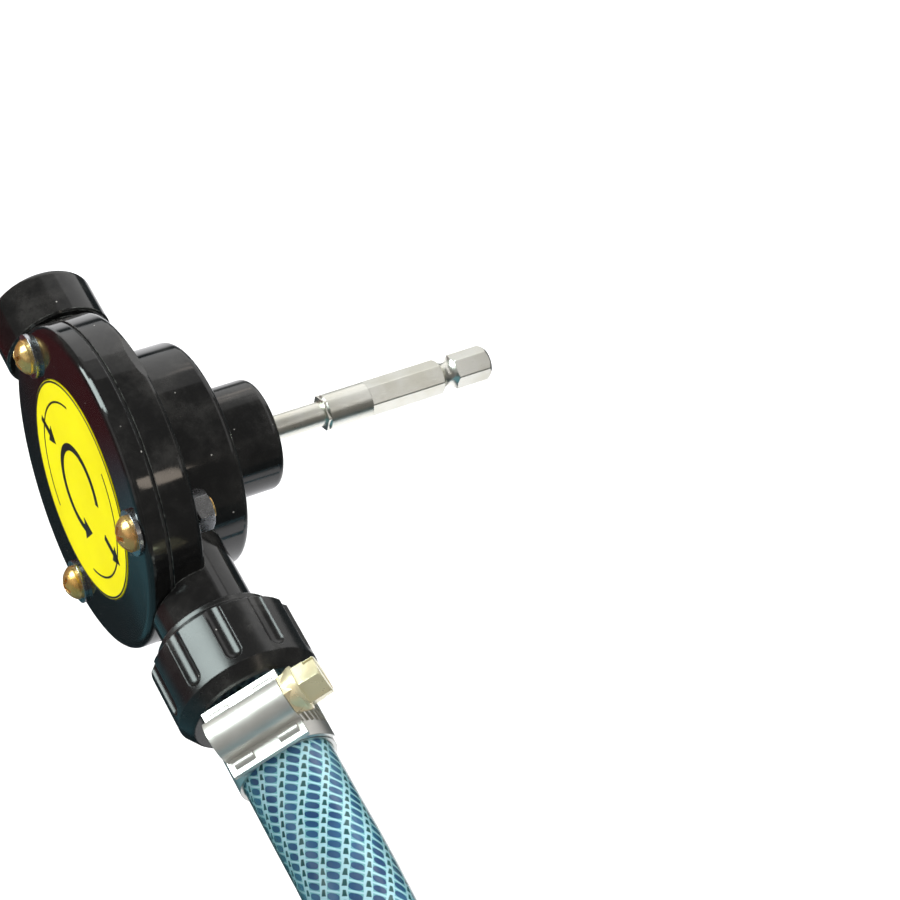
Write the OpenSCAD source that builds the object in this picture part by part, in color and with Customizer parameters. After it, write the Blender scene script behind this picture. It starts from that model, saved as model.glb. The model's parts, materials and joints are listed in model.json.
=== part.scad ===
// Drill powered pump with a union-nut outlet, a worm-drive hose clamp and a reinforced hose.
// Millimetres, +Z up. The shaft lies along X and points at the drill (+X).
// The origin is the middle of the hex shank's end face. The outlet points along -Y, the inlet along +Y.

/* [Drive] */
// Size of the hex shank across its flats
hex_af = 6.35; // [6:0.05:7]
// Diameter of the round stock that the flats are milled on
shank_d = 7.2; // [7:0.1:8]
// Length of the thick shank
shank_l = 37.6; // [32:0.1:60]
// Length of the shank that is left round
shank_round_l = 10; // [5:0.5:14]
// Distance from the shank's end to the middle of its ball groove
ball_groove_back = 9.5; // [8:0.1:13]
// Diameter of the pump shaft
shaft_d = 5; // [4.5:0.1:5.6]
// Bare stretch of shaft between the collar and the shank
shaft_free_l = 13.3; // [8:0.1:40]

/* [Housing] */
// Diameter of the flange and of the front cover
flange_d = 64; // [63.4:0.1:66]
// Thickness of the body's flange
flange_l = 6.6; // [5:0.1:8]
// Thickness of the front cover
cover_l = 4.1; // [3.5:0.1:6]
// Thickness of the cover gasket
gasket_l = 0.6; // [0.4:0.1:1]
// Length of the drum
drum_l = 13.4; // [12:0.1:18]
// Diameter of the bearing collar
collar_d = 22.4; // [18:0.1:28]
// Length of the bearing collar
collar_l = 13.1; // [10:0.1:20]
// Rounding of the housing's outer edges
edge_r = 1.4; // [0.6:0.1:2]
// Thickness of the label plate
label_l = 0.5; // [0.3:0.1:1]

/* [Chamber] */
// Thickness of the drum's side wall round the chamber
drum_side_wall = 3.4; // [3:0.1:4.5]
// How far the cam stands into the chamber
cam_rise = 4.5; // [3:0.1:5]
// Wall left between the chamber and the drum's end
drum_wall = 4.2; // [4.1:0.1:5]
// Number of impeller vanes
vane_n = 6; // [5:1:8]
// Thickness of a vane at its root
vane_t = 2.2; // [1.6:0.1:2.6]
// Outer diameter of the impeller's rubber boss
boss_d = 15; // [14:0.5:17]
// Outer diameter of the brass hub
hub_d = 9.5; // [9:0.1:11]

/* [Cover screws] */
// Distance from the flange's rim in to the middle of a cover screw
screw_rim = 4.5; // [4.4:0.1:5]
// Distance from the middle of a cover screw in to the drum
nut_room = 5.1; // [5:0.1:7]
// Distance from the middle of a cover screw in to the label's rim
label_room = 5.8; // [5:0.1:12]
// Nominal diameter of the cover screws
screw_d = 4; // [3:0.5:4]
// Diameter of a screw's domed head
head_d = 6.8; // [6.4:0.1:7]

/* [Ports] */
// Distance from the drum's end to the port axis
port_back = 14.8; // [14.4:0.1:15]
// Diameter of the port tube
port_d = 18.6; // [17:0.1:18.8]
// Diameter of the passage through a port
port_bore_d = 9; // [7:0.1:9.4]
// Diameter of the inlet's collar
inlet_d = 22; // [21:0.1:26]
// Distance from the shaft axis to the start of the inlet's collar
inlet_start = 33.6; // [33.2:0.1:38]
// Length of the inlet's collar
inlet_l = 11.4; // [10:0.1:16]
// Diameter of the inlet's socket
socket_d = 15; // [12:0.1:16]
// Depth of the inlet's socket
socket_l = 9; // [6:0.1:9.6]
// Outer diameter of the outlet's thread
thread_d = 20.9; // [20:0.1:21.4]
// Distance from the shaft axis to the start of the union nut
nut_start = 38.4; // [38:0.1:45]
// Length of the union nut
nut_l = 17.8; // [17:0.1:22]
// Diameter of the union nut's grip
nut_d = 27.8; // [27.4:0.1:32]
// Number of grip flutes
flute_n = 10; // [8:1:12]
// Width of a grip flute
flute_w = 3.3; // [2.5:0.1:4]

/* [Hose] */
// Outer diameter of the hose
hose_d = 17.6; // [16.6:0.1:18]
// Wall of the hose
hose_wall = 2.45; // [2.2:0.05:2.6]
// Length of the barbed tail that the hose is pushed on
barb_l = 23; // [19:0.1:24]
// Wall of the barbed tail
tail_wall = 1.85; // [1.5:0.05:2.2]
// Width of the clamp band
band_w = 12; // [11:0.1:13]
// Thickness of the clamp band
band_t = 0.7; // [0.5:0.05:1]
// Diameter of the clamp's worm screw
worm_d = 5.4; // [4.6:0.1:5.8]
// Radius of the coil at its outer end
coil_r = 106; // [100:1:130]
// Turns of the coil
coil_turns = 1.53; // [1.3:0.01:1.9]

/* [Hidden] */
$fn = 96;

// Overrun of every cut past the face it opens
over = 1;
// Gap beside a piece that only lies in its seat
seat_gap = 0.1;
// Radial gap of a shaft that turns in its bush or seal
run_gap = 0.03;
// Radial gap of a nut or a screw in its hole
hole_gap = 0.15;

// Sizes that follow the flange
screw_pcd = flange_d - 2 * screw_rim;
drum_d = screw_pcd - 2 * nut_room;
chamber_d = drum_d - 2 * drum_side_wall;
label_d = screw_pcd - 2 * label_room;

// Places along the shaft, from the shank's end back to the front of the pump
shank_x = -shank_l;
collar_x = shank_x - shaft_free_l;
drum_x = collar_x - collar_l;
flange_x = drum_x - drum_l;
part_x = flange_x - flange_l;
cover_back_x = part_x - gasket_l;
cover_x = cover_back_x - cover_l;
port_x = drum_x - port_back;
chamber_end_x = drum_x - drum_wall;
fillet_r = 1;

// Flat on the flange's back edge, near the top
rim_flat_at = 84;
rim_flat_depth = 0.9;
rim_flat_slant = 28;

// Shank details
shank_chamfer = 0.7;
ball_groove_r = 1.9;
ball_groove_depth = 0.8;

// Pieces on the shaft inside the chamber
wear_t = 0.8;
wear_hole_room = 1;
wear_hole_d = hub_d + 2 * wear_hole_room;
thrust_t = 0.6;
hub_gap = 0.3;
hub_x = chamber_end_x - wear_t - thrust_t;
hub_front_x = cover_back_x + hub_gap;
flat_cut = 0.5;
clip_t = 0.6;
clip_d = 8.4;
clip_groove_d = shaft_d - 2 * flat_cut;
shaft_nose_l = 1.2;
shaft_front_x = hub_front_x - clip_t - shaft_nose_l;
pocket_room = 1;
cover_pocket_d = clip_d + 2 * pocket_room;
cover_pocket_l = cover_back_x - shaft_front_x + hub_gap;
vane_gap = 0.35;
vane_tip_r = 1.4;
vane_steps = 6;
vane_lag = 8;
vane_bend = 5.5;

// Seal and bush in the drum wall and the collar
seal_d = 12.6;
seal_l = 4;
case_t = 0.5;
lip_t = 0.9;
spring_wire = 0.8;
bush_d = 9;
bush_set_back = 0.8;
seal_step = 0.8;
bush_x = drum_x + seal_step;
bush_l = collar_l - bush_set_back - seal_step;

// Label seat in the cover
label_gap = 0.15;
label_rise = 0.15;

// Cover screw sizes
screw_n = 3;
first_screw = 25;
washer_step = 1;
washer_d = head_d + 2 * washer_step;
washer_t = 0.8;
head_h = 2.6;
nut_af = 1.75 * screw_d;
hex_nut_t = 0.8 * screw_d;
nut_seat_gap = 0.4;
screw_nose = 0.8;
screw_x = cover_x - washer_t;
screw_end_x = flange_x + hex_nut_t + screw_nose;
cross_w = 0.9;
cross_l = 4;
cross_h = 1.3;

// Union nut sizes, as distances out from the shaft axis
nut_end = nut_start + nut_l;
nut_ring_l = 1.3;
nut_ring_wall = 0.95;
nut_ring_d = thread_d + 2 * nut_ring_wall;
shoulder_l = 1.9;
grip_start = nut_start + nut_ring_l + shoulder_l;
nut_taper_l = 2.8;
nut_taper = 1.5;
nut_web = 3.4;
chamfer = 0.4;
flute_depth = 0.95;
flute_r = (pow(flute_w / 2, 2) + pow(flute_depth, 2)) / (2 * flute_depth);
flute_end_room = 2.6;
flute_stop = nut_end - nut_taper_l - flute_end_room;
flute_first = 32;

// Barbed tail and its washer
tail_flange_t = 2;
tail_flange_step = 0.5;
tail_flange_d = thread_d - 2 * tail_flange_step;
washer_l = 1.6;
seal_ring_step = 1;
seal_ring_w = 3.2;
seal_ring_d = thread_d - 2 * seal_ring_step;
thread_end = nut_end - nut_web - tail_flange_t - washer_l;
thread_start = nut_start + nut_ring_l / 2;
hose_bore_d = hose_d - 2 * hose_wall;
neck_step = 1.35;
neck_d = hose_bore_d + 2 * neck_step;
hose_stop_gap = 0.4;
barb_start = nut_end + hose_stop_gap;
barb_end = barb_start + barb_l;
barb_bite = 0.3;
barb_relief = 0.25;
barb_d = hose_bore_d + 2 * barb_bite;
barb_root_d = hose_bore_d - 2 * barb_relief;
barb_root_share = 0.35;
barb_n = 4;
nose_l = 5;
nose_d = hose_bore_d - 2 * seat_gap;
tail_bore_d = hose_bore_d - 2 * tail_wall;

// Inlet collar
inlet_end = inlet_start + inlet_l;
inlet_edge_r = 1.5;

// Clamp sizes; clamp_at is the housing's place round the port, from +X towards +Z
clamp_at = 117;
band_gap = 0.05;
clamp_gap = 1.8;
band_start = nut_end + clamp_gap;
band_mid = band_start + band_w / 2;
band_r = hose_d / 2 + band_gap;
tail_lift = 0.3;
tail_r = band_r + band_t + tail_lift;
tail_from = 38;
tail_to = -78;
joggle = 4;
worm_gap = 0.2;
worm_r = tail_r + band_t + worm_gap + worm_d / 2;
housing_t = 0.75;
housing_l = 15.1;
housing_w = band_w + 2 * housing_t + 2 * seat_gap;
tunnel_d = worm_d + 2 * worm_gap;
foot_r = tail_r + band_t + seat_gap;
plate_top_r = foot_r + housing_t;
skirt_l = 0.5;
tab_l = 3.9;
tab_w = 1.9;
tab_h = 0.7;
tab_y = 4.5;
tab_z = 5;
screw_neck_d = 6.8;
screw_rim_d = 8.6;
screw_cone_l = 2.3;
screw_rim_l = 0.6;
screw_af = 7;
screw_head_l = 4.4;
screw_turn = 17;
screw_slot_w = 1.3;
screw_slot_h = 2;
head_z = housing_l - housing_t + seat_gap;
head_l = screw_cone_l + screw_rim_l + screw_head_l;
slot_n = 8;
slot_pitch = 6.5;
slot_w = 0.8;
slot_slant = 12;

// Route of the hose from its cuff to the coil, as [y, z] in the plane of the port axis
lead_route = [[-82, 0], [-95, 0], [-114, -2.5], [-132.5, -10], [-148, -22], [-160, -37.5],
              [-167.5, -56], [-170, -70], [-172.5, -84], [-180, -102.5], [-192, -118],
              [-207.5, -130], [-226, -137.5], [-243, -140], [-250, -140]];
lead_points = [for (p = lead_route) [port_x, p[0], p[1]]];
lead_sides = 10;
coil_sides = 6;
loop_rings = 24;
lead_start = -lead_route[0][0];
turn_gap = 0.6;
coil_pitch = hose_d + turn_gap;
coil_top = lead_points[len(lead_points) - 1];
coil_centre = [coil_top[0] + coil_r, coil_top[1] - hose_d, coil_top[2]];
// The coil: straight for one diameter, round and slowly in, and straight again
function coil_point(i) = let (a = -360 * i / loop_rings, r = coil_r - coil_pitch * i / loop_rings)
    coil_centre + [-r * cos(a), r * sin(a), 0];
coil_steps = round(coil_turns * loop_rings);
coil_loops = [for (i = [0 : coil_steps]) coil_point(i)];
coil_last = coil_loops[coil_steps];
coil_out = let (d = coil_last - coil_loops[coil_steps - 1]) d / norm(d);
coil_points = concat([coil_top], coil_loops, [coil_last + hose_d * coil_out]);

// Strap round the coil, over one step of each of two turns
tie_step = 3;
tie_w = 12;
tie_t = 1.5;
tie_gap = 0.4;
tie_outer = (coil_point(tie_step) + coil_point(tie_step + 1)) / 2;
tie_inner = (coil_point(tie_step + loop_rings) + coil_point(tie_step + 1 + loop_rings)) / 2;
tie_along = coil_point(tie_step + 1) - coil_point(tie_step);
tie_span = norm(tie_outer - tie_inner);

// Colours of the finishes
black_plastic = [0.07, 0.07, 0.075];
grip_plastic = [0.20, 0.20, 0.21];
yellow = [0.96, 0.90, 0.12];
steel = [0.78, 0.78, 0.76];
brass = [0.76, 0.62, 0.32];
black_rubber = [0.10, 0.10, 0.10];
hose_blue = [0.45, 0.75, 0.80];

// Sets its children on the shaft axis at x, with their own z along the shaft
module on_shaft(x) translate([x, 0, 0]) rotate([0, 90, 0]) children();

// Sets its children on a port's axis, with their own z pointing out (-1 outlet, 1 inlet)
module on_port(side) translate([port_x, 0, 0]) rotate([-90 * side, 0, 0]) children();

// Repeats its children at each cover screw, with their own z along the shaft
module at_screws(x) for (i = [0 : screw_n - 1])
    rotate([first_screw + i * 360 / screw_n, 0, 0]) translate([0, screw_pcd / 2, 0]) on_shaft(x) children();

// A turned shape, from points given as [place along the axis, radius]
module turned(points) rotate_extrude() polygon([for (p = points) [p[1], p[0]]]);

// A ring, from its two places along the axis and its two diameters
module ring(z0, z1, inner, outer)
    turned([[z0, inner / 2], [z0, outer / 2], [z1, outer / 2], [z1, inner / 2]]);

// Points of a rounding in a turned profile, about [place, radius], between two angles
function arc(z, r, size, from, to, steps = 5) =
    [for (i = [0 : steps]) let (a = from + (to - from) * i / steps) [z + size * cos(a), r + size * sin(a)]];

// Outline of the chamber: one circle, taken in on the cam's side (-x here, +Z on the pump) by another
module chamber_outline(gap = 0) intersection() {
    circle(d = chamber_d - 2 * gap);
    translate([cam_rise, 0]) circle(d = chamber_d - 2 * gap);
}

// Distance from the shaft axis to the chamber wall, in the direction a away from the cam
function wall_r(a) = min(chamber_d / 2,
    sqrt(pow(chamber_d / 2, 2) - pow(cam_rise * sin(a), 2)) - cam_rise * cos(a));

// A point of the impeller, at radius r and direction a away from the cam
function at_vane(r, a) = [-r * cos(a), r * sin(a)];

// The D shape that locks the hub to the shaft
module d_outline(gap = 0) intersection() {
    circle(d = shaft_d + 2 * gap);
    translate([-shaft_d, -shaft_d / 2 - gap]) square([1.5 * shaft_d - flat_cut + gap, shaft_d + 2 * gap]);
}

module body_form() on_shaft(0) turned(concat(
    [[part_x, 0], [part_x, flange_d / 2]],
    arc(flange_x - edge_r, flange_d / 2 - edge_r, edge_r, 90, 0),
    arc(flange_x + fillet_r, drum_d / 2 + fillet_r, fillet_r, 180, 270),
    arc(drum_x - edge_r, drum_d / 2 - edge_r, edge_r, 90, 0),
    arc(drum_x + fillet_r, collar_d / 2 + fillet_r, fillet_r, 180, 270),
    arc(collar_x - edge_r, collar_d / 2 - edge_r, edge_r, 90, 0),
    [[collar_x, 0]]));

module outlet_form() turned([[chamber_d / 2 - over, 0], [chamber_d / 2 - over, port_d / 2],
    [thread_start, port_d / 2], [thread_start, thread_d / 2 - chamfer],
    [thread_start + chamfer, thread_d / 2], [thread_end - chamfer, thread_d / 2],
    [thread_end, thread_d / 2 - chamfer], [thread_end, 0]]);

module inlet_form() turned(concat([[chamber_d / 2 - over, 0], [chamber_d / 2 - over, port_d / 2],
    [inlet_start, port_d / 2], [inlet_start, inlet_d / 2 - chamfer], [inlet_start + chamfer, inlet_d / 2]],
    arc(inlet_end - inlet_edge_r, inlet_d / 2 - inlet_edge_r, inlet_edge_r, 90, 0), [[inlet_end, 0]]));

module pump_body() color(black_plastic) difference() {
    union() {
        body_form();
        difference() {
            union() {
                on_port(-1) outlet_form();
                on_port(1) inlet_form();
            }
            // In front of the flange the tubes stop short of the cover's rim
            on_shaft(cover_x - over) cylinder(d = flange_d + 4 * hole_gap, h = part_x - cover_x + over);
        }
    }
    on_shaft(part_x - over) linear_extrude(chamber_end_x - part_x + over) chamber_outline();
    for (side = [-1, 1]) on_port(side) cylinder(d = port_bore_d, h = max(thread_end, inlet_end) + over);
    on_port(1) translate([0, 0, inlet_end - socket_l]) cylinder(d = socket_d, h = socket_l + over);
    // Flat on the flange's back edge
    rotate([rim_flat_at, 0, 0]) translate([flange_x, flange_d / 2, 0]) rotate([0, 0, -rim_flat_slant])
        translate([-flange_l, -rim_flat_depth, -flange_d / 2]) cube([2 * flange_l, flange_l, flange_d]);
    on_shaft(chamber_end_x - over) cylinder(d = seal_d, h = seal_l + over);
    on_shaft(chamber_end_x) cylinder(d = shaft_d + 4 * hole_gap, h = collar_x - chamber_end_x + over);
    on_shaft(bush_x) cylinder(d = bush_d, h = collar_x - bush_x + over);
    at_screws(part_x - over) cylinder(d = screw_d + 2 * hole_gap, h = flange_l + 2 * over);
    // Each nut's seat, which runs into the inlet's root
    at_screws(flange_x) cylinder(d = nut_af / cos(30) + 2 * nut_seat_gap, h = 2 * hex_nut_t);
}

module front_cover() color(black_plastic) difference() {
    on_shaft(0) turned(concat([[cover_back_x, 0], [cover_back_x, flange_d / 2]],
        arc(cover_x + edge_r, flange_d / 2 - edge_r, edge_r, 90, 180), [[cover_x, 0]]));
    on_shaft(cover_x - over) cylinder(d = label_d + 2 * label_gap, h = label_l - label_rise + over);
    on_shaft(cover_back_x - cover_pocket_l) cylinder(d = cover_pocket_d, h = cover_pocket_l + over);
    at_screws(cover_x - over) cylinder(d = screw_d + 2 * hole_gap, h = cover_l + 2 * over);
}

module label_plate() color(yellow) on_shaft(cover_x - label_rise) cylinder(d = label_d, h = label_l);

module cover_gasket() color(black_rubber) difference() {
    on_shaft(cover_back_x) cylinder(d = flange_d - 2 * chamfer, h = gasket_l);
    on_shaft(cover_back_x - over) cylinder(d = chamber_d, h = gasket_l + 2 * over);
    at_screws(cover_back_x - over) cylinder(d = screw_d + 2 * hole_gap, h = gasket_l + 2 * over);
}

module cover_screws() color(brass) at_screws(screw_x) difference() {
    union() {
        cylinder(d = screw_d, h = screw_end_x - screw_x);
        // Domed head: a slice of a sphere as wide as the head, on a low rim
        intersection() {
            translate([0, 0, dome_r() - head_h]) sphere(r = dome_r());
            translate([0, 0, -head_h]) cylinder(d = head_d, h = head_h);
        }
    }
    for (turn = [0, 90]) rotate([0, 0, turn])
        translate([-cross_l / 2, -cross_w / 2, -head_h - over]) cube([cross_l, cross_w, cross_h + over]);
}

// Radius of the sphere that rounds a screw head down to a rim a quarter of its height
function dome_r() = (pow(head_d / 2, 2) + pow(head_h * 3 / 4, 2)) / (2 * head_h * 3 / 4);

module screw_washers() color(steel) at_screws(screw_x) ring(0, washer_t, screw_d + 2 * hole_gap, washer_d);

module cover_nuts() color(steel) at_screws(flange_x) difference() {
    intersection() {
        rotate([0, 0, 30]) cylinder(d = nut_af / cos(30), h = hex_nut_t, $fn = 6);
        turned([[0, 0], [0, nut_af / 2], [chamfer, nut_af / cos(30) / 2],
            [hex_nut_t - chamfer, nut_af / cos(30) / 2], [hex_nut_t, nut_af / 2], [hex_nut_t, 0]]);
    }
    translate([0, 0, -over]) cylinder(d = screw_d, h = hex_nut_t + 2 * over);
}

module wear_plate() color(steel) difference() {
    on_shaft(chamber_end_x - wear_t) linear_extrude(wear_t) chamber_outline(seat_gap);
    on_shaft(chamber_end_x - wear_t - over) cylinder(d = wear_hole_d, h = wear_t + 2 * over);
}

// One vane: a strip along a quadratic curve from the boss to the wall, with a round tip.
// The nearer the cam, the further its tip lags behind its root.
module vane(root_a) {
    lag = vane_lag + vane_bend * (chamber_d / 2 - wall_r(root_a - 2 * vane_lag));
    tip_a = root_a - lag;
    tip_r = wall_r(tip_a) - vane_gap - vane_tip_r;
    p0 = at_vane(boss_d / 2 - vane_t / 2, root_a);
    p1 = at_vane((boss_d / 2 + tip_r) / 2, root_a);
    p2 = at_vane(tip_r, tip_a);
    line = [for (i = [0 : vane_steps]) let (s = i / vane_steps)
        (1 - s) * (1 - s) * p0 + 2 * s * (1 - s) * p1 + s * s * p2];
    heading = [for (i = [0 : vane_steps]) let (s = i / vane_steps, d = (1 - s) * (p1 - p0) + s * (p2 - p1))
        d / norm(d)];
    half = [for (i = [0 : vane_steps]) vane_t / 2 * (1 - 0.3 * i / vane_steps)];
    polygon(concat(
        [for (i = [0 : vane_steps]) line[i] + half[i] * [-heading[i][1], heading[i][0]]],
        [for (i = [vane_steps : -1 : 0]) line[i] - half[i] * [-heading[i][1], heading[i][0]]]));
    translate(p2) circle(r = vane_tip_r);
}

module impeller() color(black_rubber) on_shaft(hub_front_x) difference() {
    union() {
        cylinder(d = boss_d, h = hub_x - hub_front_x);
        for (i = [0 : vane_n - 1]) linear_extrude(hub_x - hub_front_x) vane(i * 360 / vane_n);
    }
    translate([0, 0, -over]) cylinder(d = hub_d, h = hub_x - hub_front_x + 2 * over);
}

module impeller_hub() color(brass) on_shaft(hub_front_x) linear_extrude(hub_x - hub_front_x) difference() {
    circle(d = hub_d);
    d_outline(run_gap);
}

module thrust_washer() color(steel) on_shaft(hub_x) ring(0, thrust_t - seat_gap, shaft_d, hub_d);

module retaining_clip() color(steel) on_shaft(hub_front_x - clip_t) linear_extrude(clip_t) difference() {
    circle(d = clip_d);
    circle(d = clip_groove_d);
    translate([0, -clip_groove_d / 2 + flat_cut / 2]) square([clip_d, clip_groove_d - flat_cut]);
}

module drive_shaft() color(steel) difference() {
    union() {
        on_shaft(0) turned([[shaft_front_x, 0], [shaft_front_x, shaft_d / 2 - chamfer],
            [shaft_front_x + chamfer, shaft_d / 2], [shank_x, shaft_d / 2],
            [shank_x, shank_d / 2 - shank_chamfer], [shank_x + shank_chamfer, shank_d / 2],
            [shank_x + shank_round_l, shank_d / 2], [shank_x + shank_round_l, 0]]);
        intersection() {
            on_shaft(0) turned([[shank_x, 0], [shank_x, shank_d / 2], [-shank_chamfer, shank_d / 2],
                [0, shank_d / 2 - shank_chamfer], [0, 0]]);
            on_shaft(shank_x) cylinder(d = hex_af / cos(30), h = shank_l, $fn = 6);
        }
    }
    // Ball groove of the shank
    on_shaft(-ball_groove_back) rotate_extrude()
        translate([hex_af / 2 - ball_groove_depth + ball_groove_r, 0]) circle(r = ball_groove_r);
    // Flat for the hub, and the clip's groove in front of it
    on_shaft(shaft_front_x - over) translate([shaft_d / 2 - flat_cut, -shaft_d / 2, 0])
        cube([shaft_d, shaft_d, hub_x - shaft_front_x + over]);
    on_shaft(hub_front_x - clip_t) ring(0, clip_t, clip_groove_d, shaft_d + over);
}

// The seal's lip leans towards the chamber and is held on the shaft by the spring
module shaft_seal() color(black_rubber) on_shaft(chamber_end_x) turned([
    [seal_l - case_t, shaft_d / 2 + 2 * hole_gap], [seal_l - case_t, seal_d / 2 - case_t],
    [seal_l - case_t - lip_t, seal_d / 2 - case_t], [seal_l - case_t - lip_t, shaft_d / 2 + 2 * lip_t],
    [lip_t, shaft_d / 2 + 1.6 * lip_t], [lip_t / 2, shaft_d / 2 + lip_t],
    [lip_t, shaft_d / 2 + run_gap], [2 * lip_t, shaft_d / 2 + 2 * hole_gap]]);

module seal_case() color(steel) on_shaft(chamber_end_x) turned([
    [0, seal_d / 2 - case_t], [0, seal_d / 2], [seal_l, seal_d / 2], [seal_l, shaft_d / 2 + 4 * hole_gap],
    [seal_l - case_t, shaft_d / 2 + 4 * hole_gap], [seal_l - case_t, seal_d / 2 - case_t]]);

module seal_spring() color(steel) on_shaft(chamber_end_x + 1.5 * lip_t) rotate_extrude()
    translate([shaft_d / 2 + 1.7 * lip_t + spring_wire / 2 + seat_gap, 0]) circle(d = spring_wire, $fn = 24);

module shaft_bush() color(brass) on_shaft(bush_x) ring(0, bush_l, shaft_d + 2 * run_gap, bush_d);

module outlet_nut() color(grip_plastic) on_port(-1) difference() {
    turned([[nut_start, thread_d / 2 + hole_gap], [nut_start, nut_ring_d / 2 - chamfer],
        [nut_start + chamfer, nut_ring_d / 2], [nut_start + nut_ring_l, nut_ring_d / 2],
        [grip_start, nut_d / 2], [nut_end - nut_taper_l, nut_d / 2],
        [nut_end - chamfer, nut_d / 2 - nut_taper], [nut_end, nut_d / 2 - nut_taper - chamfer],
        [nut_end, neck_d / 2 + hole_gap],
        [nut_end - nut_web, neck_d / 2 + hole_gap], [nut_end - nut_web, thread_d / 2 + hole_gap]]);
    for (i = [0 : flute_n - 1]) rotate([0, 0, i * 360 / flute_n + flute_first])
        translate([nut_d / 2 - flute_depth + flute_r, 0, 0]) {
            translate([0, 0, nut_start]) cylinder(r = flute_r, h = flute_stop - nut_start, $fn = 32);
            translate([0, 0, flute_stop]) sphere(r = flute_r, $fn = 32);
        }
}

module outlet_tail() {
    flange_z = thread_end + washer_l;
    pitch = (barb_l - nose_l) / barb_n;
    barb = [[0, barb_root_d], [barb_root_share, barb_root_d], [barb_root_share, barb_d]];
    color(grip_plastic) on_port(-1) difference() {
        turned(concat(
            [[flange_z, 0], [flange_z, tail_flange_d / 2], [flange_z + tail_flange_t, tail_flange_d / 2],
                [flange_z + tail_flange_t, neck_d / 2], [barb_start, neck_d / 2]],
            [for (i = [0 : barb_n - 1], p = barb) [barb_start + (i + p[0]) * pitch, p[1] / 2]],
            [[barb_end - nose_l, nose_d / 2], [barb_end - chamfer, nose_d / 2],
                [barb_end, nose_d / 2 - chamfer], [barb_end, 0]]));
        translate([0, 0, flange_z - over]) cylinder(d = tail_bore_d, h = barb_end - flange_z + 2 * over);
    }
}

module outlet_washer() color(black_rubber) on_port(-1)
    ring(thread_end, thread_end + washer_l, seal_ring_d - 2 * seal_ring_w, seal_ring_d);

// A slice of the plane from angle a0 to a1, long enough to cut any clamp piece
module sector(a0, a1, r) polygon([[0, 0],
    for (i = [0 : 4]) let (a = a0 + (a1 - a0) * i / 4) r * [cos(a), sin(a)]]);

// Sets its children at the clamp housing: x points out from the hose, y round it, z along it
module at_clamp() on_port(-1) rotate([0, 0, clamp_at]) children();

module clamp_band() color(steel) at_clamp() difference() {
    translate([0, 0, band_start]) linear_extrude(band_w) {
        difference() {
            circle(r = band_r + band_t);
            circle(r = band_r);
        }
        // The free end lies on the first turn, past the housing
        intersection() {
            difference() {
                circle(r = tail_r + band_t);
                circle(r = tail_r);
            }
            sector(tail_to, tail_from, 2 * tail_r);
        }
        // The step where the band climbs on itself
        intersection() {
            difference() {
                circle(r = tail_r + band_t);
                circle(r = band_r);
            }
            sector(tail_from - joggle, tail_from, 2 * tail_r);
        }
    }
    // Worm slots of the free end
    for (i = [0 : slot_n - 1]) rotate([0, 0, tail_to + (i + 1) * slot_pitch])
        translate([tail_r - tail_lift / 2, 0, band_mid]) rotate([slot_slant, 0, 0])
            translate([0, -slot_w / 2, -band_w / 4]) cube([band_t + tail_lift, slot_w, band_w / 2]);
}

// Profile of the clamp housing across the hose: an arch over the worm, flat margins and two low skirts
module housing_profile() difference() {
    union() {
        translate([worm_r, 0]) circle(d = tunnel_d + 2 * housing_t);
        translate([foot_r - skirt_l, -tunnel_d / 2 - housing_t])
            square([worm_r - foot_r + skirt_l, tunnel_d + 2 * housing_t]);
        translate([foot_r - skirt_l, -housing_w / 2]) square([skirt_l + housing_t, housing_w]);
    }
    translate([worm_r, 0]) circle(d = tunnel_d);
    translate([0, -tunnel_d / 2]) square([worm_r, tunnel_d]);
    translate([0, -band_w / 2 - seat_gap]) square([foot_r - seat_gap, band_w + 2 * seat_gap]);
}

// Profile of a tab folded over the margin, rounded on top
module tab_profile() intersection() {
    translate([plate_top_r + tab_h - tab_w / 2, 0]) circle(d = tab_w);
    translate([foot_r + housing_t / 2, -tab_w]) square(2 * tab_w);
}

module clamp_housing() color(steel) at_clamp() translate([0, 0, band_mid]) difference() {
    union() {
        translate([0, housing_l / 2, 0]) rotate([90, 0, 0]) linear_extrude(housing_l) housing_profile();
        for (y = [-1, 1], z = [-1, 1]) translate([0, y * tab_y + tab_l / 2, z * tab_z])
            rotate([90, 0, 0]) linear_extrude(tab_l) tab_profile();
    }
    // The saddle that rides on the band
    translate([0, 0, -band_w / 2 - seat_gap]) cylinder(r = foot_r, h = band_w + 2 * seat_gap);
}

// The worm and its head: a cone, a rim and a slotted hexagon
module clamp_screw() color(brass) at_clamp() translate([worm_r, housing_l / 2 - housing_t, band_mid])
    rotate([90, 0, 0]) difference() {
        union() {
            cylinder(d = worm_d, h = housing_l);
            translate([0, 0, head_z]) turned([[0, 0], [0, screw_neck_d / 2], [screw_cone_l, screw_rim_d / 2],
                [screw_cone_l + screw_rim_l, screw_rim_d / 2], [screw_cone_l + screw_rim_l, 0]]);
            translate([0, 0, head_z]) rotate([0, 0, screw_turn]) intersection() {
                cylinder(d = screw_af / cos(30), h = head_l, $fn = 6);
                turned([[0, 0], [0, screw_rim_d / 2], [head_l - chamfer, screw_rim_d / 2],
                    [head_l - chamfer, screw_af / cos(30) / 2], [head_l, screw_af / 2], [head_l, 0]]);
            }
        }
        translate([0, 0, head_z + head_l - screw_slot_h]) rotate([0, 0, screw_turn + 30])
            translate([-screw_slot_w / 2, -screw_af, 0])
                cube([screw_slot_w, 2 * screw_af, screw_slot_h + over]);
    }

// Heading of a route at its point i
function heading(points, i) = let (n = len(points) - 1, d = points[min(i + 1, n)] - points[max(i - 1, 0)])
    d / norm(d);

// Length of a route
function route_length(points, i = 0) = i >= len(points) - 1 ? 0 :
    norm(points[i + 1] - points[i]) + route_length(points, i + 1);

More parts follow.
